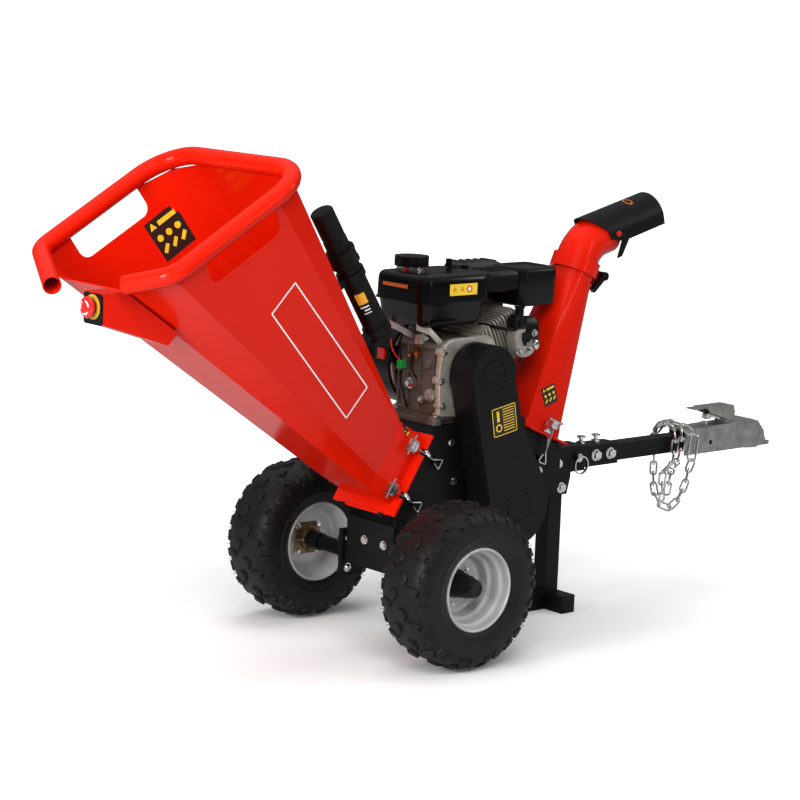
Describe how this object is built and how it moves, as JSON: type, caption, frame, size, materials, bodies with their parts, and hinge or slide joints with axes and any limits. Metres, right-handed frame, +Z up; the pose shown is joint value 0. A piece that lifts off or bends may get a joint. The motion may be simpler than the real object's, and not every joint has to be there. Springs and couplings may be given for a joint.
{
  "type": "wood chipper",
  "caption": "Towable petrol wood chipper with a flared feed hopper, belt-driven cutting drum, swivelling discharge chute, two wheels, support leg and tow coupler.",
  "frame": {"origin": "on the ground, under the middle of the machine's length and width", "axes": "+X towards the tow coupler, +Y to the left wheel, +Z up"},
  "size_m": [2.094, 0.675, 1.0769],
  "materials": {
    "red_paint": "gloss",
    "black_paint": "satin",
    "zinc": "satin",
    "galvanised": "satin",
    "machined_steel": "machined",
    "cast_alloy": "cast",
    "cast_iron": "cast",
    "tyre_rubber": "matt",
    "belt_rubber": "matt",
    "rim_silver": "satin",
    "black_plastic": "satin",
    "red_plastic": "gloss",
    "engine_black": "gloss",
    "black_oxide": "oiled"
  },
  "bodies": {
    "frame": {"rotor_housing": "black_paint", "axle_beam": "black_paint", "frame_fasteners": "zinc", "tow_socket": "black_paint", "housing_hooks": "black_paint", "rotor_bearings": "cast_iron", "anvil_blade": "machined_steel", "belt_guard": "black_paint", "drive_belt": "belt_rubber", "crankcase": "cast_alloy", "cylinder": "cast_alloy", "cylinder_head": "cast_alloy", "fuel_tank": "engine_black", "air_filter": "black_plastic", "carburettor": "cast_alloy", "muffler": "black_oxide", "recoil_cover": "engine_black", "tow_bar": "black_paint", "tow_bolts": "zinc", "coupler_body": "galvanised", "safety_chain": "zinc"},
    "crank": {"crankshaft": "machined_steel", "engine_pulley": "cast_iron"},
    "rotor": {"rotor_drum": "machined_steel", "rotor_knives": "machined_steel", "rotor_pulley": "cast_iron"},
    "left_wheel": {"left_rim": "rim_silver", "left_tyre": "tyre_rubber", "left_hub": "black_paint"},
    "right_wheel": {"right_rim": "rim_silver", "right_tyre": "tyre_rubber", "right_hub": "black_paint"},
    "hopper": {"hopper_body": "red_paint", "hopper_rim_tube": "red_paint", "e_stop_box": "red_paint", "hopper_latch_bases": "zinc", "canister_tube": "black_plastic", "canister_clamps": "black_paint"},
    "e_stop": {"e_stop_button": "red_plastic"},
    "cap": {"canister_cap": "black_plastic"},
    "chute": {"chute_body": "red_paint", "chute_latch_bases": "zinc"},
    "elbow": {"chute_elbow": "red_paint"},
    "clamp": {"clamp_handle": "black_plastic"},
    "hood": {"deflector": "black_paint"},
    "starter_grip": {"recoil_handle": "black_plastic"},
    "tank_cap": {"fuel_cap": "black_plastic"},
    "switch": {"engine_switch": "red_plastic"},
    "throttle": {"throttle_lever": "black_plastic"},
    "leg": {"support_leg": "black_paint"},
    "pin": {"lock_pin": "zinc"},
    "lever": {"coupler_lever": "zinc", "coupler_trigger": "zinc"},
    "claw": {"coupler_claw": "galvanised"},
    "hopper_latch_1": {"hopper_latch_1": "zinc"},
    "hopper_latch_2": {"hopper_latch_2": "zinc"},
    "hopper_latch_3": {"hopper_latch_3": "zinc"},
    "hopper_latch_4": {"hopper_latch_4": "zinc"},
    "chute_latch_1": {"chute_latch_1": "zinc"},
    "chute_latch_2": {"chute_latch_2": "zinc"}
  },
  "joints": [
    {"name": "rotor_spin", "type": "hinge", "parent": "frame", "child": "rotor", "pos_m": [0.065, 0, 0.297], "axis": [0, 1, 0], "continuous": true},
    {"name": "crank_spin", "type": "hinge", "parent": "frame", "child": "crank", "pos_m": [-0.027, 0, 0.592], "axis": [0, 1, 0], "continuous": true},
    {"name": "left_wheel_spin", "type": "hinge", "parent": "frame", "child": "left_wheel", "pos_m": [-0.207, 0.265, 0.178], "axis": [0, 1, 0], "continuous": true},
    {"name": "right_wheel_spin", "type": "hinge", "parent": "frame", "child": "right_wheel", "pos_m": [-0.207, -0.265, 0.178], "axis": [0, 1, 0], "continuous": true},
    {"name": "hopper_fold", "type": "hinge", "parent": "frame", "child": "hopper", "pos_m": [-0.25413, 0, 0.29831], "axis": [0, -1, 0], "range_deg": [0, 45]},
    {"name": "hopper_latch_1_swing", "type": "hinge", "parent": "hopper", "child": "hopper_latch_1", "pos_m": [-0.25125, -0.095, 0.3553], "axis": [-0.5255, 0, -0.8508], "range_deg": [0, 75]},
    {"name": "hopper_latch_2_swing", "type": "hinge", "parent": "hopper", "child": "hopper_latch_2", "pos_m": [-0.19608, -0.095, 0.44464], "axis": [-0.5255, 0, -0.8508], "range_deg": [0, 75]},
    {"name": "hopper_latch_3_swing", "type": "hinge", "parent": "hopper", "child": "hopper_latch_3", "pos_m": [-0.25125, 0.095, 0.3553], "axis": [0.5255, 0, 0.8508], "range_deg": [0, 75]},
    {"name": "hopper_latch_4_swing", "type": "hinge", "parent": "hopper", "child": "hopper_latch_4", "pos_m": [-0.19608, 0.095, 0.44464], "axis": [0.5255, 0, 0.8508], "range_deg": [0, 75]},
    {"name": "chute_latch_1_swing", "type": "hinge", "parent": "chute", "child": "chute_latch_1", "pos_m": [0.22377, -0.095, 0.45293], "axis": [-0.9205, 0, 0.3907], "range_deg": [0, 75]},
    {"name": "chute_latch_2_swing", "type": "hinge", "parent": "chute", "child": "chute_latch_2", "pos_m": [0.22377, 0.095, 0.45293], "axis": [0.9205, 0, -0.3907], "range_deg": [0, 75]},
    {"name": "e_stop_push", "type": "slide", "parent": "hopper", "child": "e_stop", "axis": [1, 0, 0], "range_m": [0, 0.004], "stiffness_N_per_m": 1500},
    {"name": "canister_cap_pull", "type": "slide", "parent": "hopper", "child": "cap", "axis": [-0.5398, 0, 0.8418], "range_m": [0, 0.1]},
    {"name": "chute_tilt", "type": "hinge", "parent": "frame", "child": "chute", "pos_m": [0.26457, 0, 0.40573], "axis": [0, 1, 0], "range_deg": [0, 35]},
    {"name": "chute_swivel", "type": "hinge", "parent": "chute", "child": "elbow", "pos_m": [0.36042, 0, 0.80557], "axis": [0.3907, 0, 0.9205], "range_deg": [-180, 180]},
    {"name": "clamp_turn", "type": "hinge", "parent": "elbow", "child": "clamp", "pos_m": [0.42329, -0.03, 0.77453], "axis": [0, -1, 0], "range_deg": [0, 90]},
    {"name": "deflector_tilt", "type": "hinge", "parent": "elbow", "child": "hood", "pos_m": [0.439, 0, 0.875], "axis": [0, 1, 0], "range_deg": [-4, 40]},
    {"name": "starter_pull", "type": "slide", "parent": "frame", "child": "starter_grip", "axis": [0, 0.6, 0.8], "range_m": [0, 0.5], "stiffness_N_per_m": 10},
    {"name": "fuel_cap_turn", "type": "hinge", "parent": "frame", "child": "tank_cap", "pos_m": [-0.094, 0.054, 0.83], "axis": [0, 0, 1], "range_deg": [0, 90]},
    {"name": "engine_switch_rock", "type": "hinge", "parent": "frame", "child": "switch", "pos_m": [-0.138, 0.09, 0.618], "axis": [0, 1, 0], "range_deg": [-8, 8]},
    {"name": "throttle_turn", "type": "hinge", "parent": "frame", "child": "throttle", "pos_m": [0.055, 0.044, 0.805], "axis": [0, 0, 1], "range_deg": [-30, 30]},
    {"name": "leg_fold", "type": "hinge", "parent": "frame", "child": "leg", "pos_m": [0.313, 0, 0.289], "axis": [0, -1, 0], "range_deg": [0, 90]},
    {"name": "lock_pin_pull", "type": "slide", "parent": "frame", "child": "pin", "axis": [0, -1, 0], "range_m": [0, 0.09]},
    {"name": "coupler_lever_lift", "type": "hinge", "parent": "frame", "child": "lever", "pos_m": [0.905, 0, 0.405], "axis": [0, 1, 0], "range_deg": [0, 75]},
    {"name": "coupler_claw_swing", "type": "hinge", "parent": "frame", "child": "claw", "pos_m": [0.907, 0, 0.346], "axis": [0, 1, 0], "range_deg": [0, 15]}
  ],
  "couplings": [
    {"joint": "crank_spin", "follows": "rotor_spin", "ratio": 1.6667},
    {"joint": "coupler_claw_swing", "follows": "coupler_lever_lift", "ratio": 0.2}
  ]
}
